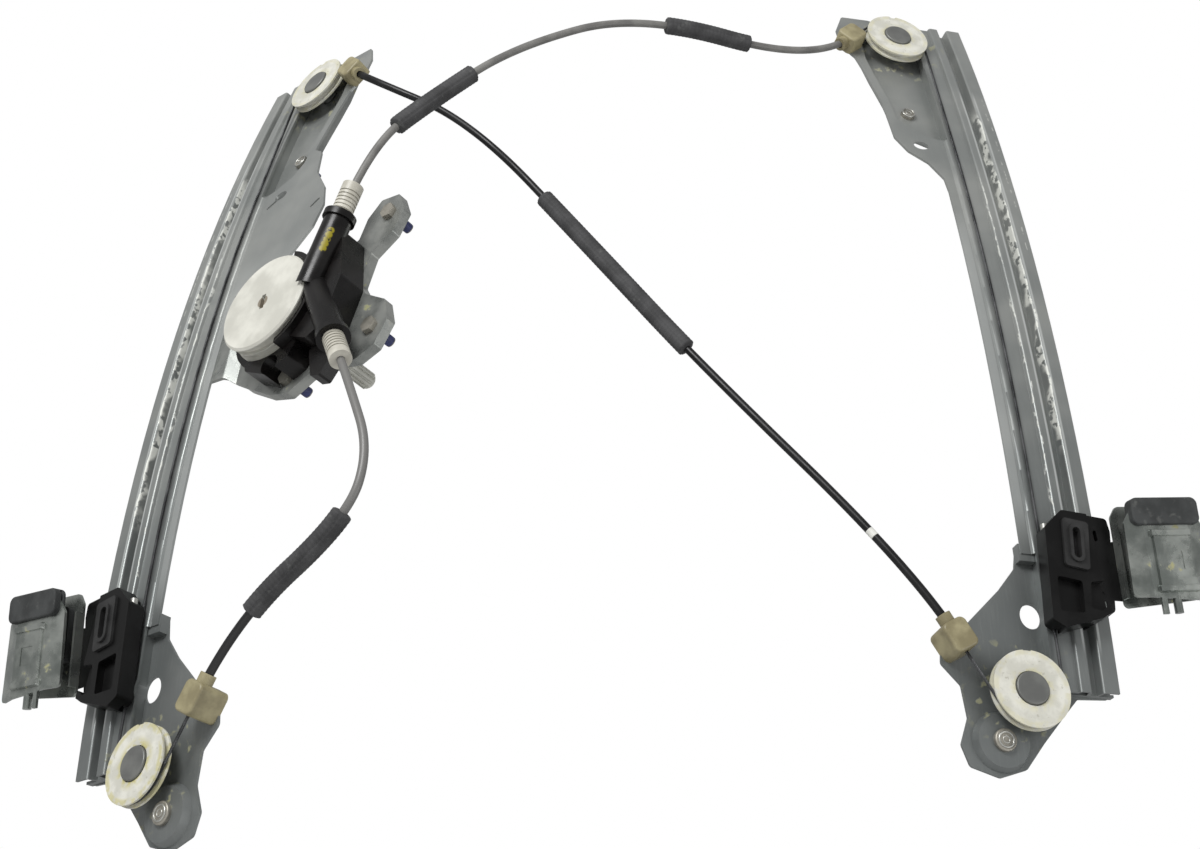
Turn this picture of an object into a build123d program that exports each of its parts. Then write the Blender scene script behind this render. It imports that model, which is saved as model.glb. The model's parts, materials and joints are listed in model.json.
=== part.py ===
from build123d import *
from math import acos, asin, atan, cos, degrees, hypot, pi, radians, sin, sqrt
import os

# Window regulator with two curved rails and one cable loop.
# X runs from the left rail toward the right one, Y away from the viewer,
# Z up the left rail. Shapes are drawn from the front face of the left rail, halfway up,
# and saved with the origin at the root of the upper motor stud, on the bracket's back face.
# Places on a rail are given as u (inward), s (along the bow) and w (toward the viewer).

# ---- driving dimensions, millimetres and degrees
bow_radius = 1508.0
sheet = 1.5
fit_gap = 0.35

rail_outer = -7.0
rail_inner = 36.0
rim_width = 8.5
rim_height = 2.0
groove_floor = -4.0
groove_width = 5.5
rib_width = 6.0
rib_height = 1.6
track_height = -0.6
flange_step = 1.6
flange_width = 6.0
pan_depth = 8.0
pan_side = 27.5
rail_foot = -223.0
rail_head = 285.0

wire_diameter = 1.8
wire_u = 25.6
wire_w = 0.6
pulley_diameter = 42.0
pulley_thickness = 5.6
groove_clearance = 0.4
wire_lift = 3.2
lower_touch = -127.0
upper_touch = 162.0
pin_diameter = 18.0
pin_shank = 8.0

clip_size = 17.0
clip_top = 5.6
lower_clip_u = 81.0
lower_clip_s = -200.0
upper_clip_u = 78.0
upper_clip_s = 254.0

conduit_diameter = 4.6
foam_diameter = 11.0

right_offset = (411.9, 292.1, 82.4)
right_tilt = (4.66, -4.81, 50.7)

drum_x = 92.5
drum_z = 29.5
drum_front = -16.0
drum_diameter = 63.0
drum_thickness = 14.0
drum_bore = 10.0
wire_layer = 1.6
shaft_diameter = 11.0
shaft_tip = 71.0
upper_port_angle = 74.0
lower_port_angle = -62.0
upper_port_reach = 57.0
lower_port_reach = 66.0
port_diameter = 16.0
sleeve_diameter = 12.4
sleeve_length = 20.0

bracket_sheet = 2.0
bracket_back = 8.6
stud_diameter = 6.0
stud_length = 14.0
stud_knurl = 0.5

carrier_s = -158.0
carrier_front = 12.0
travel = 330.0
clamp_out = 37.0
clamp_up = 12.0
clamp_tilt = 10.0
clamp_roll = -6.0
clamp_width = 46.0
clamp_height = 56.0
glass_gap = 6.0
pad_thickness = 3.5
screw_place = (4.0, -15.0)

# ---- sizes that follow from the driving ones
pulley_radius = pulley_diameter / 2
wire_radius = wire_diameter / 2
pitch_radius = pulley_radius - wire_diameter
pulley_u = wire_u + pitch_radius
wire_bow = bow_radius + wire_w
wire_reach = sqrt((wire_bow + wire_lift) ** 2 - wire_bow**2)
drum_radius = drum_diameter / 2
drum_pitch = drum_radius - wire_diameter
port_y = drum_front + drum_thickness / 2
wire_top = wire_w + wire_lift + wire_radius + fit_gap
spring_start = 26.0
nipple_radius = 2.0
right_side = Location(right_offset, right_tilt)
bow_axis = Axis((0, bow_radius, 0), (-1, 0, 0))


def spot(u, s, w):
    """The point at u, s, w on the left rail."""
    a = s / bow_radius
    return Vector(u, bow_radius - (bow_radius + w) * cos(a), (bow_radius + w) * sin(a))


def on_rail(u, s, w):
    """A work plane at u, s, w: its x runs inward, its y up the rail, its z to the viewer."""
    a = s / bow_radius
    return Plane(origin=spot(u, s, w), x_dir=(1, 0, 0), z_dir=(0, -cos(a), sin(a)))


def to_right(shape):
    """The mirror image of a left-hand shape, moved to the right rail."""
    return right_side * mirror(shape, about=Plane.YZ)


def cross_section(s):
    """A plane across the rail at s: its x runs inward, its y toward the viewer."""
    a = s / bow_radius
    return Plane(origin=spot(0, s, 0), x_dir=(1, 0, 0), z_dir=(0, -sin(a), -cos(a)))


def bowed(section, s0, s1):
    """Revolves a flat section along the bow of the rail, from s0 to s1."""
    return revolve(cross_section(s0) * section, bow_axis, degrees((s1 - s0) / bow_radius))


def band(u0, u1, w0, w1, s0, s1):
    """A bowed bar with a rectangular section."""
    section = Pos((u0 + u1) / 2, (w0 + w1) / 2) * Rectangle(u1 - u0, w1 - w0)
    return bowed(section, s0, s1)


def outline(points, corner):
    """A closed flat outline with rounded corners."""
    return fillet(make_face(Polyline(*points, close=True)).vertices(), corner)


def cut_out(points, corner, w0, w1):
    """The part of a bowed sheet between w0 and w1 that lies inside an outline in u and s."""
    us = [p[0] for p in points]
    ss = [p[1] for p in points]
    middle = (min(ss) + max(ss)) / 2
    flat = [(u, s - middle) for u, s in points]
    blank = band(min(us) - 1, max(us) + 1, w0, w1, min(ss) - 2, max(ss) + 2)
    return blank & on_rail(0, middle, w0 - 12) * extrude(outline(flat, corner), w1 - w0 + 24)


def track_line():
    """The front line of the rail's pressed track, across the rail."""
    rim_end = rail_outer + rim_width
    rib_start = rim_end + 1 + groove_width
    rib_end = rib_start + rib_width
    step = rail_inner - flange_width
    return [
        (rail_outer, rim_height),
        (rim_end, rim_height),
        (rim_end + 1, groove_floor),
        (rib_start, groove_floor),
        (rib_start + 1, rib_height),
        (rib_end, rib_height),
        (rib_end + 1, track_height),
        (step - 1.2, track_height),
        (step, track_height - flange_step),
        (rail_inner, track_height - flange_step),
    ]


def track_section():
    """The pressed track as one folded strip of sheet."""
    line = FilletPolyline(*track_line(), radius=0.8)
    strip = trace(Pos(0, -sheet / 2) * line, sheet)
    return strip


lower_outline = [
    (24.0, -140.0),
    (36.0, -140.0),
    (38.5, -153.0),
    (49.0, -166.0),
    (62.0, -179.0),
    (73.0, -190.0),
    (86.0, -200.0),
    (87.0, -210.0),
    (77.0, -221.0),
    (75.0, -238.0),
    (80.0, -252.0),
    (76.0, -263.0),
    (60.0, -268.0),
    (45.0, -263.0),
    (34.0, -249.0),
    (21.0, -234.0),
    (12.0, -224.0),
    (-7.0, -223.0),
    (-7.0, -214.0),
    (24.0, -214.0),
]

upper_outline = [
    (20.0, 112.0),
    (36.0, 112.0),
    (37.0, 124.0),
    (45.0, 137.0),
    (57.0, 146.0),
    (64.0, 158.0),
    (66.0, 190.0),
    (72.0, 222.0),
    (76.0, 240.0),
    (84.0, 252.0),
    (84.0, 270.0),
    (77.0, 288.0),
    (57.0, 289.0),
    (45.0, 282.0),
    (20.0, 281.0),
]

lobe_outline = [
    (30.0, 72.0),
    (57.0, 74.0),
    (76.0, 84.0),
    (91.0, 103.0),
    (95.0, 120.0),
    (90.0, 138.0),
    (77.0, 158.0),
    (73.0, 180.0),
    (60.0, 190.0),
    (30.0, 150.0),
]

pan_outline = [
    (pan_side, 160.0),
    (38.0, 162.0),
    (52.0, 168.0),
    (59.0, 178.0),
    (61.0, 196.0),
    (66.0, 222.0),
    (68.5, 240.0),
    (68.0, 262.0),
    (58.0, 272.0),
    (pan_side, 272.0),
]


def grown(points, corner, by):
    """An outline offset outward."""
    return offset(outline(points, corner), by, kind=Kind.ARC)


def upper_pan():
    """The sunk pan behind the upper pulley: the opening in the flange, then its walls and floor."""
    top = track_height - flange_step
    middle = sum(p[1] for p in pan_outline) / len(pan_outline)
    flat = [(u, s - middle) for u, s in pan_outline]
    base = on_rail(0, middle, -pan_depth - 30)
    around = base * extrude(grown(flat, 5, sheet), 60)
    inside = base * extrude(outline(flat, 5), 60)
    us = [p[0] for p in pan_outline]
    ss = [p[1] for p in pan_outline]
    block = around & band(min(us) - 4, max(us) + 4, -pan_depth - sheet, top, min(ss) - 8, max(ss) + 8)
    cavity = inside & band(min(us) - 4, max(us) + 4, -pan_depth, 20, min(ss) - 8, max(ss) + 8)
    return around, block - cavity


def dished_boss(u, s, radius, height):
    """A raised boss pressed in a pan floor round a stud."""
    plane = on_rail(u, s, -pan_depth - sheet)
    outer = plane * extrude(Circle(radius + sheet), height + sheet, taper=25)
    inner = plane * Pos(0, 0, -0.01) * extrude(Circle(radius), height, taper=25)
    return outer, inner


def stud_hole(u, s):
    """The cutter for a stud hole through a rail."""
    return on_rail(u, s, -30) * extrude(Circle(stud_diameter / 2 + stud_knurl), 60)


lower_stud = (58.0, -250.0)
upper_stud = (47.0, 190.0)
lower_hole = (33.0, -180.0)
upper_hole = (47.0, 153.0)
boss_radius = 15.0
boss_height = 4.0


def rail(with_lobe):
    """One rail with its pressed track and its end plates."""
    flange = track_height - flange_step
    body = bowed(track_section(), rail_foot, rail_head)
    upper = cut_out(upper_outline, 3, flange - sheet, flange)
    if with_lobe:
        upper += cut_out(lobe_outline, 5, flange - sheet, flange)
    opening, pan = upper_pan()
    keep = band(rail_inner - flange_width - 4, 120, -30, 10, 60, rail_head + 20)
    body = body - (opening & band(pan_side + 0.6, 90, flange - 2 * sheet, 10, 150, 280))
    upper = (upper & keep) - opening
    lower = cut_out(lower_outline, 3, -pan_depth - sheet, -pan_depth)
    side = band(pan_side - sheet, pan_side, -pan_depth - 0.5 * sheet, track_height - sheet / 2, -222, -150)
    foot = band(rail_outer, pan_side, -pan_depth - 0.5 * sheet, groove_floor - 0.5 * sheet, rail_foot, rail_foot + sheet)
    ramp = cut_out([(27, -150), (37.4, -150), (37.4, -140), (27, -140)], 0.2,
                   -pan_depth - 0.5 * sheet, flange - 0.5 * sheet)
    outer, inner = dished_boss(*lower_stud, boss_radius, boss_height)
    body = body - band(pan_side + 0.9, 40, -4, 4, rail_foot - 2, -146)
    body = body + upper + pan + lower + side + foot + ramp + outer - inner
    for place in (lower_stud, upper_stud):
        body -= stud_hole(*place)
    hole = on_rail(lower_hole[0], lower_hole[1], -30) * extrude(Ellipse(6.0, 7.0), 60)
    body -= hole
    body -= on_rail(upper_hole[0], upper_hole[1], -30) * extrude(Ellipse(5.0, 3.6), 60)
    body -= on_rail(25.0, -108.0, -6) * extrude(SlotOverall(28, 4.0, rotation=90), 5.2)
    for end in (lower_end(), upper_end()):
        body -= end * Pos(0, 0, -30) * Cylinder(pin_shank / 2, 60)
    if with_lobe:
        body -= on_rail(41.0, 148.0, -20) * extrude(SlotOverall(9, 2.4, rotation=30), 40)
        body -= on_rail(86.0, 126.0, -20) * extrude(SlotOverall(8, 2.2, rotation=35), 40)
    return body


def pulley_place(s_touch, way):
    """The plane of a pulley: the wire leaves the bow of the rail at s_touch along a tangent."""
    touch = on_rail(wire_u, s_touch, wire_w)
    centre = touch.from_local_coords(Vector(pitch_radius, way * wire_reach, 0))
    return Plane(origin=centre, x_dir=touch.x_dir, z_dir=touch.z_dir)


def lower_end():
    """The lower pulley plane."""
    return pulley_place(lower_touch, -1)


def upper_end():
    """The upper pulley plane."""
    return pulley_place(upper_touch, 1)


def clip_spot(lower):
    """Where a conduit clip stands, in its pulley plane."""
    if lower:
        return (lower_clip_u - pulley_u, lower_clip_s - lower_touch + wire_reach)
    return (upper_clip_u - pulley_u, upper_clip_s - upper_touch - wire_reach)


def clip_turn(lower):
    """The direction in which the conduit leaves a clip, in degrees in the pulley plane."""
    x, y = clip_spot(lower)
    reach = hypot(x, y)
    toward = degrees(atan(y / x))
    half = degrees(asin(pitch_radius / reach))
    return toward + half if lower else toward - half


def clip_plane(lower):
    """The clip's plane: x points out along the conduit."""
    base = lower_end() if lower else upper_end()
    turn = radians(clip_turn(lower))
    spot_here = base.from_local_coords(Vector(*clip_spot(lower), 0))
    out = base.x_dir * cos(turn) + base.y_dir * sin(turn)
    return Plane(origin=spot_here, x_dir=out, z_dir=base.z_dir)


def pulley(plane):
    """A grooved cable pulley with a small notch in its front flange."""
    half = pulley_thickness / 2
    rim = half - wire_radius - groove_clearance - 0.1
    root = pitch_radius - wire_radius - 0.1
    points = [
        (pin_shank / 2 + 0.3, -half),
        (pulley_radius, -half),
        (pulley_radius, -half + 0.8 * rim),
        (root, -wire_radius - groove_clearance * 0.4),
        (root, wire_radius + groove_clearance * 0.4),
        (pulley_radius, half - 0.8 * rim),
        (pulley_radius, half),
        (pin_diameter / 2 + 0.4, half),
        (pin_diameter / 2 + 0.4, half - 1.2),
        (pin_shank / 2 + 0.3, half - 1.2),
    ]
    section = Plane.XZ * make_face(Polyline(*points, close=True))
    body = revolve(section, Axis.Z)
    notch = Pos(0, pulley_radius + 1.0, half) * Cylinder(2.6, 2.0)
    return plane * (body - notch)


def pulley_pin(plane):
    """A headed pin that holds a pulley on its rail, clinched at the back."""
    half = pulley_thickness / 2
    head = Pos(0, 0, half - 0.8) * extrude(Circle(pin_diameter / 2), 2.2)
    head = fillet(head.edges().filter_by(GeomType.CIRCLE).sort_by(Axis.Z)[-1], 0.9)
    back = -wire_lift - wire_w - pan_depth - sheet - 2.4
    shank = Pos(0, 0, (half + back) / 2) * Cylinder(pin_shank / 2, half - back)
    tail = Pos(0, 0, back + 0.6) * Cylinder(pin_shank / 2 + 1.6, 1.2)
    shoulder_top = -half - fit_gap
    shoulder_low = -wire_lift - wire_w - pan_depth + 0.6
    shoulder = Pos(0, 0, (shoulder_top + shoulder_low) / 2) * Cylinder(pin_shank / 2 + 1.5, shoulder_top - shoulder_low)
    return plane * (head + shank + tail + shoulder)


def clip(lower):
    """A moulded conduit clip that stands on a rail end, with a peg through the sheet."""
    plane = clip_plane(lower)
    long = clip_size
    seat = pan_depth if lower else flange_step - track_height
    bottom = -wire_w - wire_lift - seat
    body = Pos(long * 0.05, 0, bottom) * extrude(RectangleRounded(long, long * 0.86, 3.5), clip_top - bottom)
    body = fillet(body.edges().group_by(Axis.Z)[-1], 1.5)
    nose = Pos(long * 0.55, 0, 0) * Rot(0, 90, 0) * extrude(Circle(4.2), 5.0)
    body = body + nose
    body -= Rot(0, 90, 0) * Cylinder(wire_radius + 0.4, 4 * long)
    body -= Pos(long * 0.2, 0, 0) * Rot(0, 90, 0) * extrude(Circle(conduit_diameter / 2), long)
    peg = Pos(-2, 0, bottom - sheet - 1.5) * extrude(Circle(3.0), sheet + 2)
    return plane * (body + peg)


def conduit_mouth(lower):
    """The outer end of a clip, where the conduit goes in, and the conduit's direction."""
    plane = clip_plane(lower)
    start = plane.from_local_coords(Vector(clip_size * 0.2, 0, 0))
    return start, plane.x_dir


def planar_wire(lower):
    """The wire at one end: from the clip, round the pulley and along a tangent to the track."""
    r = pitch_radius
    x, y = clip_spot(lower)
    turn = clip_turn(lower)
    if lower:
        first = turn - 90
        sweep_angle = -(first + 180)
    else:
        first = turn + 90
        sweep_angle = 180 - first
    start = (r * cos(radians(first)), r * sin(radians(first)))
    arc = CenterArc((0, 0), r, first, sweep_angle)
    tail = (-r, wire_reach if lower else -wire_reach)
    path = Line((x + 4 * cos(radians(turn)), y + 4 * sin(radians(turn))), start) + arc + Line((-r, 0), tail)
    profile = Plane(origin=path @ 0, z_dir=path % 0) * Circle(wire_radius)
    return (lower_end() if lower else upper_end()) * sweep(profile, path=path)


def rail_wire():
    """The wire rope of one rail, from clip to clip."""
    track = bowed(Pos(wire_u, wire_w) * Circle(wire_radius), lower_touch - 0.05, upper_touch + 0.05)
    return planar_wire(True) + track + planar_wire(False)


def rail_stud(place, front, head, boss):
    """A stud through a rail: a round head in front, a threaded end behind."""
    plane = on_rail(place[0], place[1], front)
    top = plane * extrude(Circle(head), 2.4)
    top = fillet(top.edges().filter_by(GeomType.CIRCLE).sort_by(Axis.Y)[0], 0.8)
    collar = plane * extrude(Circle(stud_diameter / 2 + stud_knurl), -sheet)
    shank = plane * Pos(0, 0, -sheet) * extrude(Circle(stud_diameter / 2), sheet - stud_length - boss)
    return top + collar + shank


def port(angle, sign):
    """The plane of a drum port: its origin is on the wire's tangent, its z along the port."""
    a = radians(angle)
    b = a - sign * pi / 2
    origin = (drum_x + drum_pitch * cos(b), port_y - sign * wire_layer, drum_z + drum_pitch * sin(b))
    return Plane(origin=origin, x_dir=(0, 1, 0), z_dir=(cos(a), 0, sin(a)))


def upper_port():
    return port(upper_port_angle, 1)


def lower_port():
    return port(lower_port_angle, -1)


def drum_plane(y):
    """A plane on the drum axis at y: x right, y up, z away from the viewer."""
    return Plane(origin=(drum_x, y, drum_z), x_dir=(-1, 0, 0), z_dir=(0, 1, 0))


def cable_drum():
    """The drum: a disc with wire grooves, a notched rear flange and a square seat."""
    depth = drum_thickness
    groove = wire_diameter + 0.8
    points = [
        (0, 0),
        (drum_radius - 1.2, 0),
        (drum_radius, 1.2),
        (drum_radius, 2.0),
        (drum_pitch - wire_radius, 3.0),
        (drum_pitch - wire_radius, depth - 3.0),
        (drum_radius, depth - 2.2),
        (drum_radius, depth),
        (0, depth),
    ]
    body = revolve(Plane.XZ * make_face(Polyline(*points, close=True)), Axis.Z)
    for k in range(16):
        body -= Rot(0, 0, k * 22.5 + 11) * Pos(drum_radius, 0, depth) * Box(2.4, 3.4, 2.6)
    rib = Pos(0, 0, depth / 2) * (Cylinder(drum_radius - 0.8, 1.0) - Cylinder(drum_pitch - groove, 1.2))
    body = body + rib
    body -= Pos(0, 0, 1.5) * Box(3.2, drum_bore, 3.2)
    body -= Cylinder(shaft_diameter / 2 - 1.2, 4 * depth) & Pos(0, 0, depth) * Box(60, 60, 2 * (depth - 3.4))
    return drum_plane(drum_front) * body


def drive_shaft():
    """The splined shaft that the motor drives, pressed into the back of the drum."""
    start = drum_front + 3.6
    long = shaft_tip - start
    seat = drum_thickness - 3.6 + 0.4
    spline = 30.0
    tip = extrude(Circle(shaft_diameter / 2 - 0.8), long)
    for k in range(12):
        ridge = Pos(shaft_diameter / 2 - 0.9, 0, 0) * Rectangle(1.8, 1.3)
        tip += Pos(0, 0, long - spline) * Rot(0, 0, 30 * k) * extrude(ridge, spline - 2)
    neck = Pos(0, 0, seat) * extrude(Circle(shaft_diameter / 2 + 1.0), long - spline - seat - 6)
    core = extrude(Circle(shaft_diameter / 2 - 1.2), seat + 1)
    cut = Pos(0, 0, -1) * extrude(Circle(shaft_diameter / 2 - 1.2), seat + 1)
    ring = extrude(Circle(shaft_diameter), seat) - cut
    tip = tip - ring
    tip = chamfer(tip.faces().sort_by(Axis.Z)[-1].edges(), 1.0)
    return drum_plane(start) * (core + neck + tip)


bracket_outline = [
    (29.0, 10.0),
    (46.0, 8.0),
    (66.0, -5.0),
    (84.0, -16.0),
    (100.0, -21.0),
    (114.0, -14.0),
    (128.0, -12.0),
    (150.0, -18.0),
    (163.0, -13.0),
    (170.0, 2.0),
    (165.0, 17.0),
    (148.0, 28.0),
    (142.0, 38.0),
    (146.0, 58.0),
    (160.0, 68.0),
    (166.0, 82.0),
    (160.0, 96.0),
    (146.0, 98.0),
    (137.0, 88.0),
    (133.0, 74.0),
    (112.0, 70.0),
    (86.0, 64.0),
    (60.0, 58.0),
    (29.0, 58.0),
]

bracket_stud_places = [(155.0, 84.0), (158.0, 1.0), (98.0, -10.0)]


def motor_bracket():
    """The pressed bracket welded behind the left rail, with a raised rim and three stud holes."""
    tab_front = -(track_height - flange_step) + sheet - 0.2
    line = [(28, tab_front), (44, tab_front), (52, bracket_back), (175, bracket_back)]
    strip = trace(Pos(0, bracket_sheet / 2) * FilletPolyline(*line, radius=2.5), bracket_sheet)
    plate = Plane.XY * strip
    plate = Pos(0, 0, -30) * extrude(plate, 140)
    flat = [(x, z) for x, z in bracket_outline]
    shape = outline(flat, 2.0)
    blank = Plane.XZ * Pos(0, 0, -20) * extrude(shape, 40)
    body = plate & blank
    inside = offset(shape, -bracket_sheet, kind=Kind.INTERSECTION)
    rim = Plane.XZ * Pos(0, 0, -bracket_back - 6.0) * extrude(shape - inside, 6.0)
    body += rim & Pos(130, 0, 30) * Box(136, 60, 160)
    body -= Plane.XZ * Pos(drum_x, drum_z, -40) * extrude(Circle(15), 60)
    for x, z in bracket_stud_places:
        body -= Plane.XZ * Pos(x, z, -40) * extrude(Circle(stud_diameter / 2 + stud_knurl), 60)
    return body


def bracket_stud(x, z):
    """A stud on the motor bracket: a flat head in front, a threaded end behind."""
    back = -bracket_back - bracket_sheet
    head = Plane.XZ * Pos(x, z, -bracket_back) * extrude(RegularPolygon(5.0, 6), 3.2)
    collar = Plane.XZ * Pos(x, z, back) * extrude(Circle(stud_diameter / 2 + stud_knurl), bracket_sheet)
    shank = Plane.XZ * Pos(x, z, back - stud_length) * extrude(Circle(stud_diameter / 2), stud_length)
    return head + collar + shank


def drum_housing():
    """The moulded housing behind the drum with its two wire ports."""
    back = bracket_back
    front = drum_front + drum_thickness + fit_gap
    disc_radius = drum_radius + 4
    body = drum_plane(front) * extrude(Circle(disc_radius), back - front)
    wall = drum_plane(drum_front + 3) * (
        extrude(Circle(disc_radius), back - drum_front - 3) - extrude(Circle(drum_radius + 1.2), back - drum_front - 3)
    )
    side = Pos(drum_x + 50 + 14, 0, drum_z) * Box(100, 100, 120)
    body += wall & side
    for plane, reach in ((upper_port(), upper_port_reach), (lower_port(), lower_port_reach)):
        tube = plane * Pos(0, 0, 8) * extrude(Circle(port_diameter / 2), reach - 8)
        collar = plane * Pos(0, 0, reach - 4) * extrude(Circle(port_diameter / 2 + 1.4), 4)
        body += tube + collar
    web = [(112, 60), (128, 74), (139, 66), (146, 30), (139, 0), (128, -6), (112, 2)]
    spine = Plane.XZ * Pos(0, 0, -back) * extrude(outline(web, 4), back - port_y)
    body += spine
    foot = [(74, 4), (78, -7), (96, -16), (112, -10), (120, 4)]
    body += Plane.XZ * Pos(0, 0, -back) * extrude(outline(foot, 3), back - drum_front - 10)
    finger = [(122, -6), (128, -26), (135, -28), (140, -20), (136, -4)]
    body += Plane.XZ * Pos(0, 0, -back) * extrude(outline(finger, 1.5), 9)
    drum_room = drum_plane(drum_front - 2) * extrude(Circle(drum_radius + 1.2), drum_thickness + 2 + fit_gap)
    body -= drum_room
    for plane, reach in ((upper_port(), upper_port_reach), (lower_port(), lower_port_reach)):
        body -= plane * Pos(0, 0, spring_start - 0.6) * extrude(Circle(sleeve_diameter / 2), reach)
        body -= plane * Pos(0, 0, -6) * extrude(Circle(wire_radius + 0.8), spring_start + 8)
    body -= drum_plane(front - 1) * extrude(Circle(shaft_diameter / 2 + 1.4), 40)
    for x, z in bracket_stud_places:
        body -= Plane.XZ * Pos(x, z, -back) * extrude(Circle(6.2), 40)
    return body


def tension_sleeve(plane, reach):
    """A ribbed sleeve that slides in a port and holds the end of a conduit."""
    radius = sleeve_diameter / 2
    seat = 14.0
    body = Pos(0, 0, reach - seat) * extrude(Circle(radius - 0.1), sleeve_length + seat)
    for k in range(6):
        cutter = Cylinder(radius + 1, 0.9) - Cylinder(radius - 0.7, 1)
        body -= Pos(0, 0, reach + 2.0 + 2.4 * k) * cutter
    body -= Pos(0, 0, reach + sleeve_length - 16) * extrude(Circle(conduit_diameter / 2), 40)
    body -= Cylinder(wire_radius + 0.5, 400)
    return plane * body


def tension_spring(plane, reach):
    """The coil spring under a sleeve."""
    top = reach - 14.4
    turns = 6
    long = top - spring_start - 1.4
    path = Pos(0, 0, spring_start + 0.7) * Helix(long / turns, long, sleeve_diameter / 2 - 1.1)
    profile = Plane(origin=path @ 0, z_dir=path % 0) * Circle(0.65)
    return plane * sweep(profile, path=path)


def drum_wire(plane, reach, layer):
    """The wire from the drum groove through a port to the end of a conduit."""
    long = reach + sleeve_length - 16
    tail = plane * Pos(0, 0, 0.4) * extrude(Circle(wire_radius), long - 0.4)
    return tail


def rounded_path(points):
    """A path of straight runs joined by tangent arcs as large as the runs leave room for."""
    radii = []
    for a, b, c in zip(points, points[1:], points[2:]):
        p, q, r = Vector(*a), Vector(*b), Vector(*c)
        turn = radians((q - p).get_angle(r - q))
        radii.append(0.45 * min((q - p).length, (r - q).length) / max(0.02, sin(turn / 2) / cos(turn / 2)))
    return FilletPolyline(*points, radius=radii)


def tube(path, diameter, bore=0.0):
    """A round tube or rod along a path."""
    start = Plane(origin=path @ 0, z_dir=path % 0)
    body = sweep(start * Circle(diameter / 2), path=path)
    if bore:
        body -= sweep(start * Circle(bore / 2), path=path)
    return body


def sleeve_mouth(plane, reach):
    """The seat of a conduit in a tension sleeve, and its direction."""
    start = plane.from_local_coords(Vector(0, 0, reach + sleeve_length - 16))
    return start, plane.z_dir


def end_points(mouth, way, straight):
    """Two points of a path: the seat and the end of the straight run out of it."""
    return [mouth, mouth + way.normalized() * straight]


def right_mouth(lower):
    """A conduit seat on the right rail, and its direction."""
    point, way = conduit_mouth(lower)
    flip = Vector(-point.X, point.Y, point.Z)
    end = Vector(-(point + way).X, (point + way).Y, (point + way).Z)
    here = (right_side * Pos(flip.X, flip.Y, flip.Z)).position
    there = (right_side * Pos(end.X, end.Y, end.Z)).position
    return here, there - here


def upper_conduit_path():
    """From the drum's upper port to the right rail's upper clip."""
    start = end_points(*sleeve_mouth(upper_port(), upper_port_reach), 46)
    end = end_points(*right_mouth(False), 45)
    middle = [Vector(168, 12, 170), Vector(200, 40, 222), Vector(248, 96, 276)]
    return rounded_path(start + middle + end[::-1])


def lower_conduit_path():
    """From the drum's lower port to the left rail's lower clip."""
    start = end_points(*sleeve_mouth(lower_port(), lower_port_reach), 42)
    end = end_points(*conduit_mouth(True), 40)
    middle = [Vector(188, -2, -96), Vector(178, 1, -130)]
    return rounded_path(start + middle + end[::-1])


def cross_conduit_path():
    """From the left rail's upper clip across to the right rail's lower clip."""
    start = end_points(*conduit_mouth(False), 34)
    end = end_points(*right_mouth(True), 40)
    middle = [Vector(150, 62, 205), Vector(210, 120, 115), Vector(262, 166, 36)]
    return rounded_path(start + middle + end[::-1])


def foam(path, t0, t1):
    """A foam sleeve on a conduit, between two shares of its path."""
    cut = path.trim(t0, t1)
    return tube(cut, foam_diameter, conduit_diameter)


carrier_outline = [
    (-12.0, -134.0),
    (-10.0, -127.0),
    (17.0, -125.0),
    (28.0, -136.0),
    (31.0, -189.0),
    (24.0, -193.0),
    (2.0, -186.0),
    (-12.0, -177.0),
]

arm_outline = [(-30.0, -136.0), (-10.0, -140.0), (-10.0, -186.0), (-24.0, -182.0), (-30.0, -172.0)]
insert_outline = [(3.0, -132.0), (18.0, -130.0), (20.0, -158.0), (6.0, -160.0)]


def in_carrier(points):
    """Outline points measured from the middle of the carrier."""
    return [(u, s - carrier_s) for u, s in points]


def clamp_plane():
    """The plane of the rear clamp plate: x inward, y up, z toward the viewer."""
    return on_rail(0, carrier_s, 0) * Location((-clamp_out, clamp_up, 8.4), (clamp_tilt, 0, clamp_roll))


def rail_room():
    """The space that a carrier leaves free for the rail and its wire."""
    s0 = carrier_s - 60
    s1 = carrier_s + 60
    gap = fit_gap
    rim_end = rail_outer + rim_width
    room = band(rail_outer - gap, rim_end + gap, rim_height - sheet - gap, rim_height + gap, s0, s1)
    room += band(rim_end - gap - 1, rim_end + 3.0, -20, rim_height + gap, s0, s1)
    room += band(rim_end + groove_width - 0.4, rail_inner + 8, -20, rib_height + gap, s0, s1)
    room += band(rim_end, rail_inner + 8, -20, groove_floor + gap, s0, s1)
    room += band(wire_u - wire_radius - 0.8, wire_u + wire_radius + 0.8, -3, wire_top, s0, s1)
    return room


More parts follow.
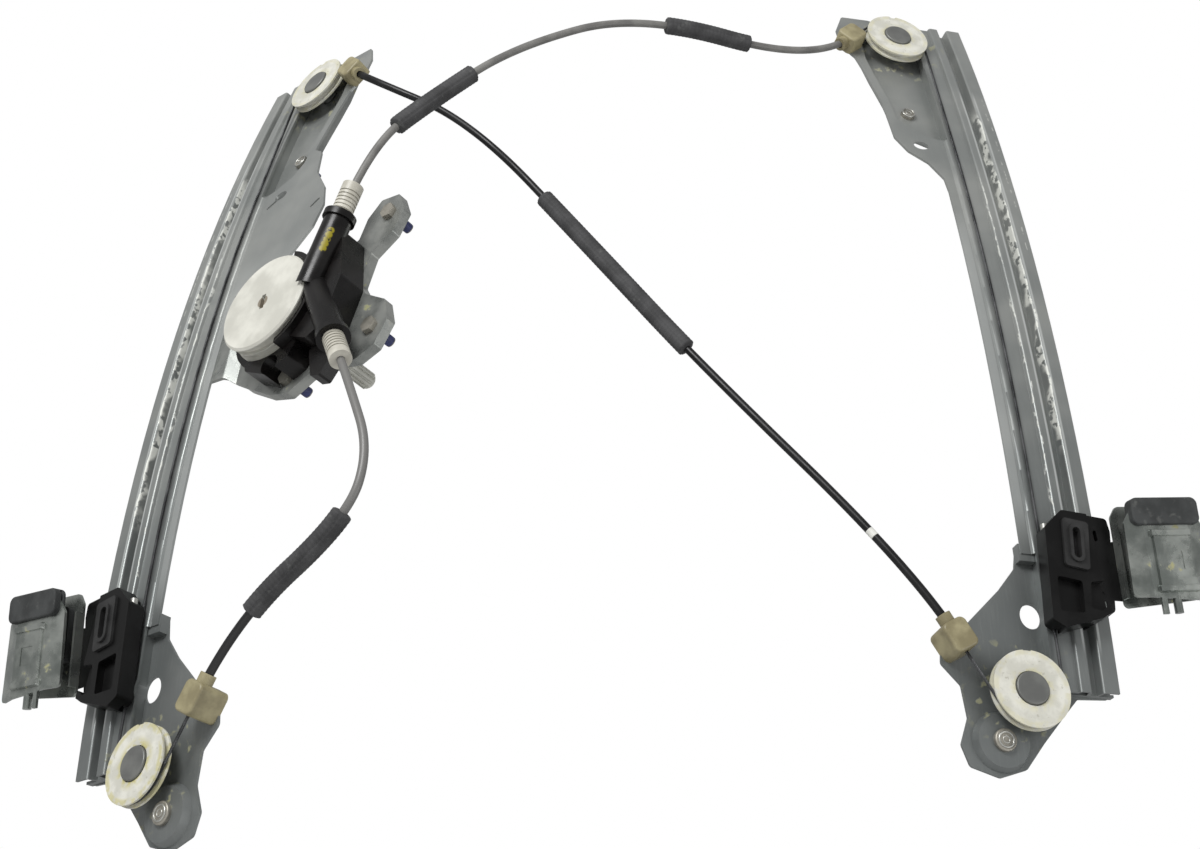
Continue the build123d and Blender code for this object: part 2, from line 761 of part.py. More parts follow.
def carrier():
    """The moulded glass carrier that hooks round the rim of the rail."""
    plane = on_rail(0, carrier_s, 0)
    body = plane * Pos(0, 0, -4) * extrude(outline(in_carrier(carrier_outline), 2.5), carrier_front + 4)
    body = body - band(rim_width + rail_outer + 5, 60, -20, rib_height + fit_gap, carrier_s - 60, carrier_s + 60)
    body += plane * Pos(0, 0, 2.4) * extrude(outline(in_carrier(arm_outline), 2.5), 9.0)
    body -= rail_room()
    body -= clamp_plane() * Pos(0, 0, 20 - sheet) * Box(2 * clamp_out, 2 * clamp_height, 40)
    body -= clamp_plane() * Pos(*screw_place, -10) * Cylinder(6.4, 30)
    pocket = [(-6.0, -164.0), (6.0, -166.0), (8.0, -181.0), (2.0, -182.0), (-6.0, -176.0)]
    body -= plane * Pos(0, 0, 7.5) * extrude(outline(in_carrier(pocket), 1.5), 9)
    pocket = [(11.0, -166.0), (25.0, -164.0), (26.0, -184.0), (12.0, -184.0)]
    body -= plane * Pos(0, 0, 7.5) * extrude(outline(in_carrier(pocket), 1.5), 9)
    body -= plane * Pos(0, 0, 8) * extrude(outline(in_carrier(insert_outline), 2.0), 9)
    for seat in nipples():
        body -= seat
    for u, s in ((-3.0, -137.0), (-5.5, -170.0)):
        body -= plane * Pos(u, s - carrier_s, 2.8) * extrude(SlotOverall(6, 2.0, rotation=80), 20)
    return body


def insert():
    """The slide shoe clipped into the carrier, with its long slot."""
    plane = on_rail(0, carrier_s, 0)
    body = plane * Pos(0, 0, 8) * extrude(offset(outline(in_carrier(insert_outline), 2.0), -0.02), 5.6)
    ring = plane * Pos(12, 13, 13.6) * extrude(SlotOverall(22, 8, rotation=94), 1.4)
    slot = plane * Pos(12, 13, 10) * extrude(SlotOverall(18, 4.4, rotation=94), 9)
    return body + ring - slot


def nipples():
    """The two crimped ends of the wire, seated in the carrier above the track."""
    plane = on_rail(wire_u, carrier_s, wire_top + nipple_radius)
    seat = [plane * Pos(0, y, 0) * Rot(90, 0, 0) * Cylinder(nipple_radius, 7) for y in (-22, 22)]
    return seat


def rear_clamp():
    """The rear clamp plate, fixed to the carrier."""
    half = clamp_width / 2
    tall = clamp_height / 2
    points = [(-half, -tall + 4), (-half + 4, tall - 8), (-half + 10, tall), (half - 4, tall), (half, tall - 6), (half, -tall)]
    body = Pos(0, 0, -sheet) * extrude(outline(points, 3), sheet)
    flange = Pos(half - sheet / 2, -3, 2) * Box(sheet, clamp_height - 16, 4)
    body += flange
    body -= Pos(*screw_place, 0) * Cylinder(3.2, 20)
    return clamp_plane() * body


def front_clamp():
    """The front clamp plate: a shallow tray with a raised panel and a folded foot."""
    half = clamp_width / 2
    tall = clamp_height / 2
    z = 2 * pad_thickness + glass_gap
    line = [(-half - 3, z - 3.0), (-half + 9, z), (half - 10, z), (half, z - 3.5)]
    strip = trace(FilletPolyline(*line, radius=2.5), sheet)
    bar = Rot(90, 0, 0) * extrude(strip, clamp_height / 2, both=True)
    points = [(-half - 3, -tall), (-half - 1, tall - 14), (-half + 6, tall), (half - 8, tall), (half - 1, tall - 12), (half, -tall + 4)]
    bar = bar & extrude(outline(points, 3), 60)
    panel = Pos(-2, -6, z) * extrude(RectangleRounded(22, clamp_height - 22, 2.5), sheet / 2 + 1.2, taper=18)
    bar += panel
    for y in (tall - 18.5, 7.5 - tall):
        bar += Pos(-2, y, z) * extrude(RectangleRounded(25, 5.0, 1.6), sheet / 2 + 2.0, taper=20)
    bar -= Pos(-2, -5.5, z + 2.4) * Box(10, 10, 1.6)
    foot = Pos(-1, -tall - 1.0, z - 1.2) * Rot(90, 0, 0) * extrude(Circle(2.3), 4.5, both=True)
    tab = Pos(7.5, -tall - 1.0, z) * Box(3.2, 10, sheet)
    bar += foot + tab
    return clamp_plane() * bar


def pad_reach():
    """The lower and upper edge of the rubber pads, clear of the screw and the rounded top."""
    return screw_place[1] + 6.0, clamp_height / 2 - 7.0


def front_pad():
    """The rubber cap over the top of the front plate."""
    half = clamp_width / 2
    tall = clamp_height / 2
    z = 2 * pad_thickness + glass_gap
    cap = Pos(-1, tall - 6.5, z - 1.0) * Box(clamp_width - 6, 15, pad_thickness + 4.2)
    cap = fillet(cap.edges().filter_by(Axis.Z), 4)
    cap = fillet(cap.edges().group_by(Axis.Y)[-1], 1.2)
    low, high = pad_reach()
    inner = Pos(0, (low + high) / 2, z - pad_thickness / 2 - sheet / 2) * Box(clamp_width - 12, high - low, pad_thickness)
    line = [(-half - 3, z - 3.0), (-half + 9, z), (half - 10, z), (half, z - 3.5)]
    strip = trace(FilletPolyline(*line, radius=2.5), sheet)
    slot = Rot(90, 0, 0) * extrude(strip, clamp_height / 2, both=True)
    return clamp_plane() * (cap + inner - slot)


def rear_pad():
    """The rubber pad on the rear plate."""
    low, high = pad_reach()
    body = Pos(-1, (low + high) / 2, 0) * extrude(RectangleRounded(clamp_width - 12, high - low, 3), pad_thickness)
    return clamp_plane() * body


def clamp_screw():
    """The screw that closes the clamp below the glass."""
    long = 2 * pad_thickness + glass_gap - sheet / 2 - 0.3
    body = Pos(0, 0, -sheet - 3) * extrude(Circle(3.0), long + sheet + 3)
    head = Pos(0, 0, -sheet - 3.2) * extrude(RegularPolygon(5.0, 6), 3.2)
    return clamp_plane() * Pos(*screw_place, 0) * (body + head)


def clamp_nut():
    """The nut between the plates that the screw runs in."""
    z = 2 * pad_thickness + glass_gap - sheet / 2
    body = extrude(RegularPolygon(5.2, 6), 5.5) - Cylinder(3.0, 40)
    return clamp_plane() * Pos(*screw_place, z - 5.5) * body


def save(shape, name):
    """Writes one shape or a group of solids to its own file."""
    if isinstance(shape, (list, tuple)):
        shape = Compound(children=list(shape))
    x, z = bracket_stud_places[0]
    export_step(Pos(-x, -bracket_back - bracket_sheet, -z) * shape, "parts/" + name + ".step")


def save_pair(make, name):
    """Writes a left-hand shape and its mirror image on the right rail."""
    shape = make
    save(shape, "left_" + name)
    save(to_right(shape), "right_" + name)


def build():
    os.makedirs("parts", exist_ok=True)
    save(rail(True), "left_rail")
    save(to_right(rail(False)), "right_rail")
    save_pair(rail_wire(), "wire")
    save_pair(pulley(lower_end()), "lower_pulley")
    save_pair(pulley(upper_end()), "upper_pulley")
    save_pair(pulley_pin(lower_end()), "lower_pulley_pin")
    save_pair(pulley_pin(upper_end()), "upper_pulley_pin")
    save_pair(clip(True), "lower_clip")
    save_pair(clip(False), "upper_clip")
    save_pair(carrier(), "carrier")
    save_pair(insert(), "insert")
    save_pair(rear_clamp(), "rear_clamp")
    save_pair(front_clamp(), "front_clamp")
    save_pair(front_pad(), "front_pad")
    save_pair(rear_pad(), "rear_pad")
    save_pair(clamp_screw(), "clamp_screw")
    save_pair(clamp_nut(), "clamp_nut")
    low = rail_stud(lower_stud, boss_height - pan_depth, 6.0, boss_height)
    save([low, to_right(low)], "lower_rail_studs")
    up = rail_stud(upper_stud, -pan_depth, 4.6, 0)
    save([up, to_right(up)], "upper_rail_studs")
    save(nipples(), "left_nipples")
    save([to_right(n) for n in nipples()], "right_nipples")
    save(cable_drum(), "cable_drum")
    save(drive_shaft(), "drive_shaft")
    save(drum_housing(), "drum_housing")
    save(motor_bracket(), "motor_bracket")
    save([bracket_stud(x, z) for x, z in bracket_stud_places], "bracket_studs")
    for plane, reach, name in ((upper_port(), upper_port_reach, "upper"), (lower_port(), lower_port_reach, "lower")):
        save(tension_sleeve(plane, reach), name + "_tension_sleeve")
        save(tension_spring(plane, reach), name + "_tension_spring")
        save(drum_wire(plane, reach, 0), name + "_drum_wire")
    upper = upper_conduit_path()
    lower = lower_conduit_path()
    cross = cross_conduit_path()
    save(tube(upper, conduit_diameter, wire_diameter + 0.6), "upper_conduit")
    save(tube(lower, conduit_diameter, wire_diameter + 0.6), "lower_conduit")
    save(tube(cross, conduit_diameter, wire_diameter + 0.6), "cross_conduit")
    save(foam(upper, 0.16, 0.32), "upper_conduit_foam_near")
    save(foam(upper, 0.66, 0.80), "upper_conduit_foam_far")
    save(foam(lower, 0.50, 0.80), "lower_conduit_foam")
    save(foam(cross, 0.32, 0.58), "cross_conduit_foam")


if __name__ == "__main__":
    build()
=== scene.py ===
import json
import math
import bpy
from mathutils import Matrix, Vector
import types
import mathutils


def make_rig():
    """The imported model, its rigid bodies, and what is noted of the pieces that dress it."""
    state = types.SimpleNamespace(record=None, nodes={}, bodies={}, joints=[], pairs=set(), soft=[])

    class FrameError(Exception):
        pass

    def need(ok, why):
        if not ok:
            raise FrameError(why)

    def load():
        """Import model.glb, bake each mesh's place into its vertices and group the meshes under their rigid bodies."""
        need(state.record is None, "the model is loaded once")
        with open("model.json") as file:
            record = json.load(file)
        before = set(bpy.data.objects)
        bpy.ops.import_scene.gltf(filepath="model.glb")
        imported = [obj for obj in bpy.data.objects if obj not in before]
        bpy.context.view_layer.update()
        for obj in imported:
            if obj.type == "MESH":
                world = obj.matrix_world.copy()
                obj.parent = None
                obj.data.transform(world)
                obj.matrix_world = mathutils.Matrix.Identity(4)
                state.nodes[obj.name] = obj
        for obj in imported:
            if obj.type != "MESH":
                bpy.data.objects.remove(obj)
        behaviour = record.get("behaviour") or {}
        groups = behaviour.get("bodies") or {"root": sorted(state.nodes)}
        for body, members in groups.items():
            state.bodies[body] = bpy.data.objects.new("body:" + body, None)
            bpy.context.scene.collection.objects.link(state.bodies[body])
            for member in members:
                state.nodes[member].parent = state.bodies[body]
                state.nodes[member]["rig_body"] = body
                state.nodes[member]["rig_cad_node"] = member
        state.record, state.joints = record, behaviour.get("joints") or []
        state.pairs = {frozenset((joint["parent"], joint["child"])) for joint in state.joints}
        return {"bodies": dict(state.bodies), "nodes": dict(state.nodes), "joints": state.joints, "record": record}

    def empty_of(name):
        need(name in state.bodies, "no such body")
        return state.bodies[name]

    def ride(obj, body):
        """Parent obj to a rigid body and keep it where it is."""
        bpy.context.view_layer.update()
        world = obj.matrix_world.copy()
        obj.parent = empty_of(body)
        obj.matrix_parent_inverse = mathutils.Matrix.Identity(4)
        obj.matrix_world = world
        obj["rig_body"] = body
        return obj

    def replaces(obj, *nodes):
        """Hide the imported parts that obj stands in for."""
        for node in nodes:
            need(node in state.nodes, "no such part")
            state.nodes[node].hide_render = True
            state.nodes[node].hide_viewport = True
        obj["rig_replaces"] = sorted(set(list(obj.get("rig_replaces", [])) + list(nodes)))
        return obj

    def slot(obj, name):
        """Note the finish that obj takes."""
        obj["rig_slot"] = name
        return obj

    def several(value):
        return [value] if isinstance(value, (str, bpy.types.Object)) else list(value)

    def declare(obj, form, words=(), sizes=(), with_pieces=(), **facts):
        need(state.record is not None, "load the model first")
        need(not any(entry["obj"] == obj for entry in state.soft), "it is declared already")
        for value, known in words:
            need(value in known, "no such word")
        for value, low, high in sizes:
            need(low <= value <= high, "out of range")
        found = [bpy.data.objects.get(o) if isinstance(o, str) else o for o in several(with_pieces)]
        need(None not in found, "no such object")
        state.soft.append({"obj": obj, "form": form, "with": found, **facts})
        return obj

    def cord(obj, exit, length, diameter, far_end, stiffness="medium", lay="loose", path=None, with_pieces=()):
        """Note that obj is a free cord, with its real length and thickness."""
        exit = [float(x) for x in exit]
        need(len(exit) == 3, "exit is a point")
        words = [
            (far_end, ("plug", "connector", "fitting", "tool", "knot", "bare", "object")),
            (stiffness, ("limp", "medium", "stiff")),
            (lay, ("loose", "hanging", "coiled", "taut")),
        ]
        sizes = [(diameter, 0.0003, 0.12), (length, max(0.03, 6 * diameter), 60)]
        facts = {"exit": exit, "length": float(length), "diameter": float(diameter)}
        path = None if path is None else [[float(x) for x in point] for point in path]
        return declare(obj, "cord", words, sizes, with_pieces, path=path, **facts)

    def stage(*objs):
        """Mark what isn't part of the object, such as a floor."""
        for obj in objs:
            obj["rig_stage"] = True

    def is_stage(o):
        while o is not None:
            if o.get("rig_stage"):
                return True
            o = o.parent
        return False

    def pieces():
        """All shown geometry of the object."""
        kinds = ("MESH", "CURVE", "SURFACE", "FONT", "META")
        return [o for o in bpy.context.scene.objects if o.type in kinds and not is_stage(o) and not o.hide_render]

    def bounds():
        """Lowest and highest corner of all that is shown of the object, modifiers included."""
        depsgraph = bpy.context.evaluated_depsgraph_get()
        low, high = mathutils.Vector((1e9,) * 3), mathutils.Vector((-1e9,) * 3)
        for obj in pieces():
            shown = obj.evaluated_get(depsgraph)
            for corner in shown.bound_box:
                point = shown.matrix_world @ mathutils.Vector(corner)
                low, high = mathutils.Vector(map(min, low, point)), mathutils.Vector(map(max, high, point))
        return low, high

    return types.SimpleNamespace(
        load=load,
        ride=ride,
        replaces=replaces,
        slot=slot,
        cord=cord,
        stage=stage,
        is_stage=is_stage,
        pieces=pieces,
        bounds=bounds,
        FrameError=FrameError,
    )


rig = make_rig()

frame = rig.load()
nodes = frame["nodes"]
cad_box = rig.bounds()
scene = bpy.context.scene

# places: drawing millimetres (left rail's face, halfway up) to metres in the row frame
SHIFT = Vector((155.0, 10.6, 84.0))
BOW = 1508.0
RIM_CREST = 0.6
RIB_CREST = 9.8
PIN_U = 44.8
PIN_S = {"lower": -225, "upper": 260}
BRACKET_STUDS = ((155, 84), (158, 1), (98, -10))
BRACKET_BACK = 10.6
RAIL_STUDS = (("lower", 58, -250), ("upper", 47, 190))
# from the left rail's coordinates to the right rail's: mirrored, turned and moved
RIGHT = (Matrix.Translation((411.9, 292.1, 82.4)) @ Matrix.Rotation(math.radians(4.66), 4, "X")
         @ Matrix.Rotation(math.radians(-4.81), 4, "Y") @ Matrix.Rotation(math.radians(50.7), 4, "Z")
         @ Matrix.Diagonal((-1, 1, 1, 1)))
SIDES = {"left": Matrix.Identity(4), "right": RIGHT}
# the drum's axis in the row frame, in metres across and up
DRUM_CENTRE = (-0.0625, -0.0545)


def row(p):
    """A place of the drawing in the row frame."""
    return (Vector(p) - SHIFT) / 1000


def on_rail(side, u, s, w=0.0):
    """A place on a rail: u inward, s up along the bow, w toward the viewer."""
    a = s / BOW
    return row(SIDES[side] @ Vector((u, BOW - (BOW + w) * math.cos(a), (BOW + w) * math.sin(a))))


# node helpers for procedural materials
def linear(rgb):
    """A screen colour, 0 to 255, as Blender's linear one."""
    return tuple((c / 255 / 12.92 if c <= 10 else ((c / 255 + 0.055) / 1.055) ** 2.4) for c in rgb) + (1.0,)


class Shader:
    """A material with small helpers. Lengths in textures are millimetres."""

    def __init__(self, name):
        self.mat = bpy.data.materials.new(name)
        self.mat.use_nodes = True
        self.tree = self.mat.node_tree
        self.tree.nodes.clear()
        self.out = self.new("ShaderNodeOutputMaterial")
        self.bsdf = self.new("ShaderNodeBsdfPrincipled")
        self.link(self.bsdf.outputs[0], self.out.inputs[0])
        coord = self.new("ShaderNodeTexCoord")
        self.pos = self.vmath("SCALE", coord.outputs["Object"], scale=1000.0)

    def new(self, kind):
        return self.tree.nodes.new(kind)

    def link(self, a, b):
        self.tree.links.new(a, b)

    def put(self, socket, value):
        if isinstance(value, bpy.types.NodeSocket):
            self.link(value, socket)
        elif value is not None:
            socket.default_value = value

    def vmath(self, op, a, b=None, scale=None):
        n = self.new("ShaderNodeVectorMath")
        n.operation = op
        self.put(n.inputs[0], a)
        if b is not None:
            self.put(n.inputs[1], b)
        if scale is not None:
            self.put(n.inputs["Scale"], scale)
        return n.outputs["Value"] if op in ("DOT_PRODUCT", "LENGTH", "DISTANCE") else n.outputs[0]

    def math(self, op, a, b=None, c=None):
        n = self.new("ShaderNodeMath")
        n.operation = op
        for i, v in enumerate((a, b, c)):
            self.put(n.inputs[i], v)
        return n.outputs[0]

    def noise(self, size, detail, vector=None):
        n = self.new("ShaderNodeTexNoise")
        self.link(vector or self.pos, n.inputs["Vector"])
        n.inputs["Scale"].default_value = 1.0 / size
        n.inputs["Detail"].default_value = detail
        n.inputs["Roughness"].default_value = 0.55
        return n.outputs[0]

    def ramp(self, value, lo, hi, out_lo=0.0, out_hi=1.0):
        n = self.new("ShaderNodeMapRange")
        n.interpolation_type = "SMOOTHSTEP"
        self.link(value, n.inputs["Value"])
        for k, v in zip(("From Min", "From Max", "To Min", "To Max"), (lo, hi, out_lo, out_hi)):
            n.inputs[k].default_value = v
        return n.outputs[0]

    def mix(self, fac, a, b):
        n = self.new("ShaderNodeMix")
        n.data_type = "RGBA"
        self.put(n.inputs[0], fac)
        self.put(n.inputs[6], a)
        self.put(n.inputs[7], b)
        return n.outputs[2]

    def blend(self, fac, a, b):
        n = self.new("ShaderNodeMix")
        self.put(n.inputs[0], fac)
        self.put(n.inputs[2], a)
        self.put(n.inputs[3], b)
        return n.outputs[0]

    def local(self, side):
        """u, s, w of a rail at the shading point, in millimetres."""
        inv = SIDES[side].inverted()
        at = self.vmath("ADD", self.pos, tuple(SHIFT))
        u, y, z = (self.math("ADD", self.vmath("DOT_PRODUCT", at, tuple(line[:3])), line[3])
                   for line in (inv[0], inv[1], inv[2]))
        back = self.math("SUBTRACT", BOW, y)
        s = self.math("MULTIPLY", self.math("ARCTAN2", z, back), BOW)
        squares = self.math("ADD", self.math("MULTIPLY", back, back), self.math("MULTIPLY", z, z))
        far = self.math("SQRT", squares)
        return u, s, self.math("SUBTRACT", far, BOW)

    def near(self, place, radius, soft):
        """1 within radius of a place in the row frame (metres), fading out over soft."""
        d = self.vmath("DISTANCE", self.pos, tuple(Vector(place) * 1000))
        return self.ramp(d, radius + soft, radius)

    def all_of(self, *masks):
        out = masks[0]
        for m in masks[1:]:
            out = self.math("MULTIPLY", out, m)
        return out

    def most(self, *masks):
        out = masks[0]
        for m in masks[1:]:
            out = self.math("MAXIMUM", out, m)
        return out

    def bump(self, height, strength, distance, below=None):
        n = self.new("ShaderNodeBump")
        n.inputs["Strength"].default_value = strength
        n.inputs["Distance"].default_value = distance / 1000
        self.link(height, n.inputs["Height"])
        if below is not None:
            self.link(below, n.inputs["Normal"])
        return n.outputs[0]

    def finish(self, color, rough, metallic=0.0, normal=None, **more):
        self.put(self.bsdf.inputs["Base Color"], color)
        self.put(self.bsdf.inputs["Roughness"], rough)
        self.put(self.bsdf.inputs["Metallic"], metallic)
        if normal is not None:
            self.link(normal, self.bsdf.inputs["Normal"])
        for k, v in more.items():
            self.put(self.bsdf.inputs[k], v)
        return self.mat


def smear(sh, u, s, u0, half, s0, s1, wander, broken):
    """A smear of grease along a rail that wanders round u0 between s0 and s1."""
    off = sh.math("ABSOLUTE", sh.math("SUBTRACT", sh.math("ADD", u, wander), u0))
    ends = sh.all_of(sh.ramp(s, s0 - 10, s0 + 10), sh.ramp(s, s1 + 10, s1 - 10))
    return sh.all_of(sh.ramp(off, half, half * 0.35), ends, broken)


# Grease on a rail: place across it, half width, lower and upper end, how broken it is, how thick.
GREASE = (
    (2.2, 0.95, -75, 190, (0.43, 0.50), 0.85),
    (14.4, 0.5, -120, 120, (0.48, 0.56), 0.6),
    (-4.6, 0.5, 60, 205, (0.5, 0.56), 0.45),
)


def rail_steel(side):
    """Zinc-coated steel with painted shade darker toward the foot, a painted highlight on the inner flange, painted
    highlights on the crests that also stand for rub wear, and smears of grease.
    """
    sh = Shader("%s_rail_steel" % side)
    u, s, w = sh.local(side)
    cloud = sh.noise(50, 3)
    fine = sh.noise(0.9, 2)
    along = sh.new("ShaderNodeCombineXYZ")
    sh.link(u, along.inputs[0])
    sh.link(sh.math("MULTIPLY", s, 0.06), along.inputs[1])
    drawn = sh.noise(1.3, 3, vector=along.outputs[0])
    base = sh.mix(sh.ramp(cloud, 0.35, 0.65), linear((134, 137, 135)), linear((149, 151, 148)))
    # painted shade: the rail darkens toward its lower end, standing in for light that falls from above
    base = sh.mix(sh.ramp(s, -250, 120, 0.62, 0.0), base, linear((84, 89, 90)))
    base = sh.mix(sh.math("MULTIPLY", sh.ramp(drawn, 0.5, 0.75), 0.07), base, linear((172, 174, 171)))
    # painted highlight: the inner flange's edge is lightened as if light caught it
    flange_highlight = sh.all_of(sh.ramp(u, 30.0, 31.5), sh.ramp(s, -150, -110), sh.ramp(s, 110, 60))
    base = sh.mix(sh.math("MULTIPLY", flange_highlight, 0.4), base, linear((198, 201, 199)))
    # painted highlight along the rim and rib crests, partly also standing for bright rub wear from the carrier
    crest = sh.all_of(sh.ramp(w, 0.7, 1.3), sh.ramp(s, -205, -190), sh.ramp(s, 215, 200))
    wear_and_highlight_lines = [sh.ramp(sh.math("ABSOLUTE", sh.math("SUBTRACT", u, line)), 0.9, 0.3)
              for line in (RIM_CREST, RIB_CREST)]
    crest_wear_and_highlight = sh.math("MULTIPLY", sh.all_of(crest, sh.most(*wear_and_highlight_lines)), 0.6)
    base = sh.mix(crest_wear_and_highlight, base, linear((204, 207, 205)))
    wander = sh.math("MULTIPLY", sh.math("SUBTRACT", sh.noise(26, 3), 0.5), 5.0)
    patchy = sh.noise(6.0, 4)
    smears = []
    for at, half, low, high, edge, thick in GREASE:
        broken = sh.ramp(patchy, *edge)
        smears.append(sh.math("MULTIPLY", smear(sh, u, s, at, half, low, high, wander, broken), thick))
    white = sh.most(*smears)
    blot = sh.noise(6.0, 4)
    pins = [on_rail(side, PIN_U, place, 0) for place in PIN_S.values()]
    yellow = sh.all_of(sh.ramp(blot, 0.57, 0.66), sh.most(*[sh.near(pin, 27, 10) for pin in pins]))
    grease = sh.most(white, yellow)
    color = sh.mix(white, base, linear((208, 209, 202)))
    color = sh.mix(sh.math("MULTIPLY", yellow, 0.4), color, linear((158, 154, 98)))
    rough = sh.blend(grease, sh.ramp(cloud, 0.3, 0.7, 0.34, 0.44), 0.55)
    bump = sh.bump(fine, 0.12, 0.04)
    bump = sh.bump(grease, 0.5, 0.2, bump)
    return sh.finish(color, rough, sh.blend(grease, 0.5, 0.0), bump)


def steel(name, dark, light, rough=(0.35, 0.5), metallic=0.7, stain=None, stain_at=(0.6, 0.7)):
    """Plain or plated steel, cloudy between two tones, with stains if a colour for them is given."""
    sh = Shader(name)
    cloud = sh.noise(16, 4)
    fine = sh.noise(1.2, 2)
    color = sh.mix(sh.ramp(cloud, 0.35, 0.65), linear(dark), linear(light))
    r = sh.ramp(cloud, 0.3, 0.7, *rough)
    m = metallic
    if stain:
        mask = sh.ramp(sh.noise(8, 4), *stain_at)
        color = sh.mix(sh.math("MULTIPLY", mask, 0.8), color, linear(stain))
        m = sh.blend(mask, metallic, 0.0)
    return sh.finish(color, r, m, sh.bump(fine, 0.2, 0.06))


def plastic(name, dark, light, rough=(0.4, 0.55), shine=0.5):
    """Moulded plastic, cloudy between two tones, with a fine grain."""
    sh = Shader(name)
    cloud = sh.noise(14.0, 4)
    fine = sh.noise(0.8, 3)
    color = sh.mix(sh.ramp(cloud, 0.35, 0.65), linear(dark), linear(light))
    normal = sh.bump(fine, 0.2, 0.08)
    return sh.finish(color, sh.ramp(cloud, 0.3, 0.7, *rough), 0.0, normal, **{"Specular IOR Level": shine})


def greased_wheel(name, side, end, oil):
    """A pale moulded pulley with grease round its pin and on one side of its rim."""
    sh = Shader(name)
    centre = on_rail(side, PIN_U, PIN_S[end], 3)
    d = sh.vmath("DISTANCE", sh.pos, tuple(centre * 1000))
    lump = sh.noise(4.5, 4)
    color = sh.mix(sh.ramp(sh.noise(9, 3), 0.35, 0.65), linear((186, 185, 175)), linear((207, 206, 197)))
    ring = sh.ramp(d, 15.5, 9.5)
    grease = sh.all_of(sh.ramp(lump, 0.4, 0.56), sh.most(ring, sh.ramp(d, 17.5, 19.5, 0, 0.7)))
    color = sh.mix(sh.math("MULTIPLY", grease, oil), color, linear((176, 168, 98)))
    dirt = sh.ramp(sh.noise(2.2, 5), 0.62, 0.72)
    color = sh.mix(sh.math("MULTIPLY", dirt, 0.5), color, linear((140, 136, 120)))
    normal = sh.bump(sh.math("ADD", sh.math("MULTIPLY", grease, 0.6), sh.noise(0.9, 2)), 0.3, 0.15)
    return sh.finish(color, sh.blend(grease, 0.42, 0.24), 0.0, normal)


def housing_plastic():
    """Glossy black, with a dab of yellow paint on the upper tube."""
    sh = Shader("housing_plastic")
    cloud = sh.noise(14, 4)
    color = sh.mix(sh.ramp(cloud, 0.35, 0.65), linear((8, 7, 7)), linear((17, 15, 14)))
    dabs = [sh.near((-0.0190 + 0.00028 * i, -0.0262, -0.0294 + 0.00096 * i), 1.7, 0.8)
            for i in range(-6, 7, 3)]
    paint = sh.all_of(sh.most(*dabs), sh.ramp(sh.noise(2.5, 3), 0.36, 0.46))
    color = sh.mix(paint, color, linear((128, 118, 22)))
    return sh.finish(color, sh.ramp(cloud, 0.3, 0.7, 0.24, 0.4), 0.0, sh.bump(sh.noise(0.8, 3), 0.12, 0.06),
                     **{"Specular IOR Level": 0.3})


def drum_plastic():
    """Milky white, with the brown residue of grease in the centre recess."""
    sh = Shader("drum_plastic")
    front = min(v.co.y for v in nodes["cable_drum"].data.vertices)
    cloud = sh.noise(20, 4)
    color = sh.mix(sh.ramp(cloud, 0.35, 0.65), linear((182, 181, 172)), linear((203, 202, 193)))
    stain = sh.near((DRUM_CENTRE[0], front, DRUM_CENTRE[1]), 3.4, 0.8)
    color = sh.mix(sh.math("MULTIPLY", stain, 0.85), color, linear((104, 92, 74)))
    return sh.finish(color, sh.ramp(cloud, 0.3, 0.7, 0.4, 0.55), 0.0, sh.bump(sh.noise(0.8, 3), 0.2, 0.08))


def two_tone(name, upper_tone, lower_tone, z):
    """A casing that changes its colour at a height, under its foam."""
    sh = Shader(name)
    high = sh.vmath("DOT_PRODUCT", sh.pos, (0, 0, 1))
    color = sh.mix(sh.ramp(high, z + 1, z - 1), linear(upper_tone), linear(lower_tone))
    return sh.finish(color, 0.4, 0.0, sh.bump(sh.noise(0.8, 3), 0.15, 0.05))


def rubber(name, tone, grain=0.5):
    """Dull rubber or foam with a little dust on it."""
    sh = Shader(name)
    fine = sh.noise(grain, 4)
    cloud = sh.noise(12, 4)
    dust = sh.ramp(sh.noise(5, 5), 0.58, 0.75)
    light = tuple(min(255, c + 16) for c in tone)
    color = sh.mix(sh.ramp(cloud, 0.35, 0.65), linear(tone), linear(light))
    color = sh.mix(sh.math("MULTIPLY", dust, 0.25), color, linear((120, 122, 118)))
    return sh.finish(color, 0.78, 0.0, sh.bump(fine, 0.35, 0.12))


def give(mat, *names):
    """Puts a material on CAD nodes."""
    for name in names:
        for slot in nodes[name].material_slots:
            slot.material = mat


def both(*names):
    """The names of a piece on the left and on the right rail."""
    return [side + "_" + n for side in ("left", "right") for n in names]


give(rail_steel("left"), "left_rail")
give(rail_steel("right"), "right_rail")
give(steel("bracket_steel", (124, 127, 124), (150, 152, 148), metallic=0.6, rough=(0.24, 0.38),
           stain=(140, 140, 96), stain_at=(0.66, 0.74)), "motor_bracket")
give(steel("stud_steel", (120, 118, 110), (160, 156, 146)),
     "bracket_studs", "lower_rail_studs", "upper_rail_studs")
give(steel("pin_steel", (98, 99, 97), (114, 115, 112), rough=(0.38, 0.5), metallic=0.35),
     *both("lower_pulley_pin", "upper_pulley_pin"))
give(steel("clamp_steel", (118, 123, 119), (158, 162, 157), rough=(0.2, 0.34), metallic=0.8,
           stain=(150, 146, 96), stain_at=(0.64, 0.74)), *both("rear_clamp", "front_clamp"))
give(steel("fastener_steel", (90, 92, 90), (130, 130, 124)), *both("clamp_screw", "clamp_nut"))
give(steel("nipple_zinc", (150, 150, 146), (176, 176, 170)), *both("nipples"))
give(steel("spring_steel", (70, 70, 70), (100, 100, 100), metallic=0.9),
     "upper_tension_spring", "lower_tension_spring")
give(steel("wire_steel", (46, 47, 48), (78, 79, 80), rough=(0.4, 0.55)),
     *both("wire"), "upper_drum_wire", "lower_drum_wire")
